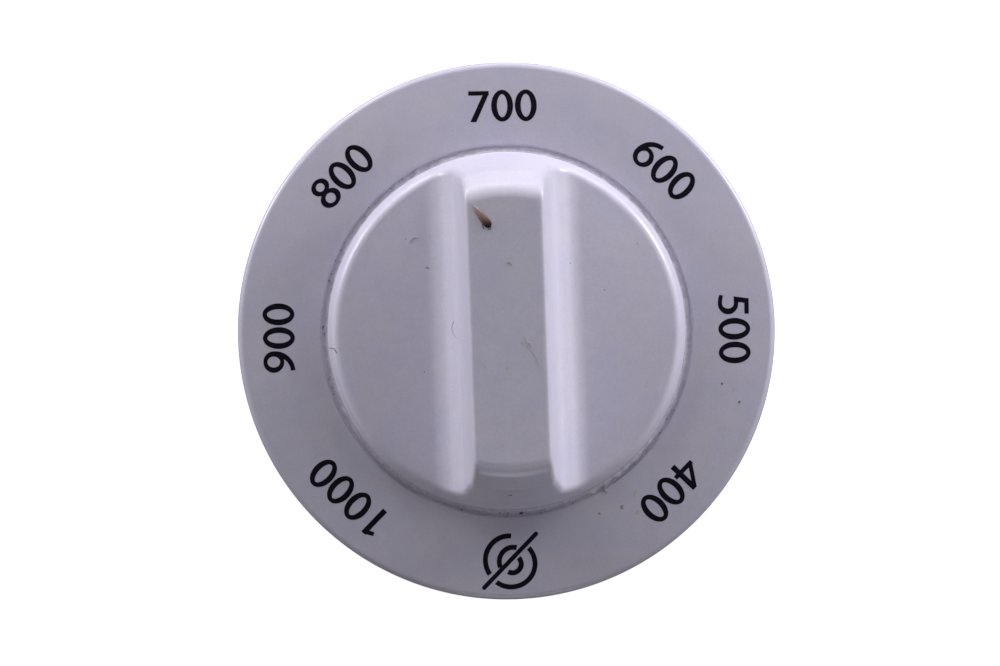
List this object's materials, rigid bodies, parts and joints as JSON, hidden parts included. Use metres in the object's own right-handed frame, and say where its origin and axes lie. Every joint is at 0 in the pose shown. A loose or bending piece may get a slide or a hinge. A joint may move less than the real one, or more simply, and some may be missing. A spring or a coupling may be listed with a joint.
{
  "type": "washing machine knob",
  "caption": "Round washing machine control knob: a dial with a turned down rim holds a drum with a straight finger bar, and a split socket with a spring ring grips the shaft.",
  "frame": {"origin": "middle of the knob on the plane of the dial's back rim, where the knob rests", "axes": "+Z along the shaft's axis, out through the grip; +Y along the bar, towards its 700 end; +X to the right as the user sees it"},
  "size_m": [0.06, 0.06, 0.0215],
  "materials": {
    "grip_plastic": "glossy moulded plastic, cool pale grey",
    "dial_plastic": "glossy moulded plastic, cool pale grey",
    "spring_steel": "rolled spring steel strip",
    "print_ink": "pad printed ink, near black",
    "soil": "specks of dirt and lint"
  },
  "bodies": {
    "root": {"grip": "grip_plastic", "dial": "dial_plastic", "spring_clip": "spring_steel"}
  },
  "joints": []
}
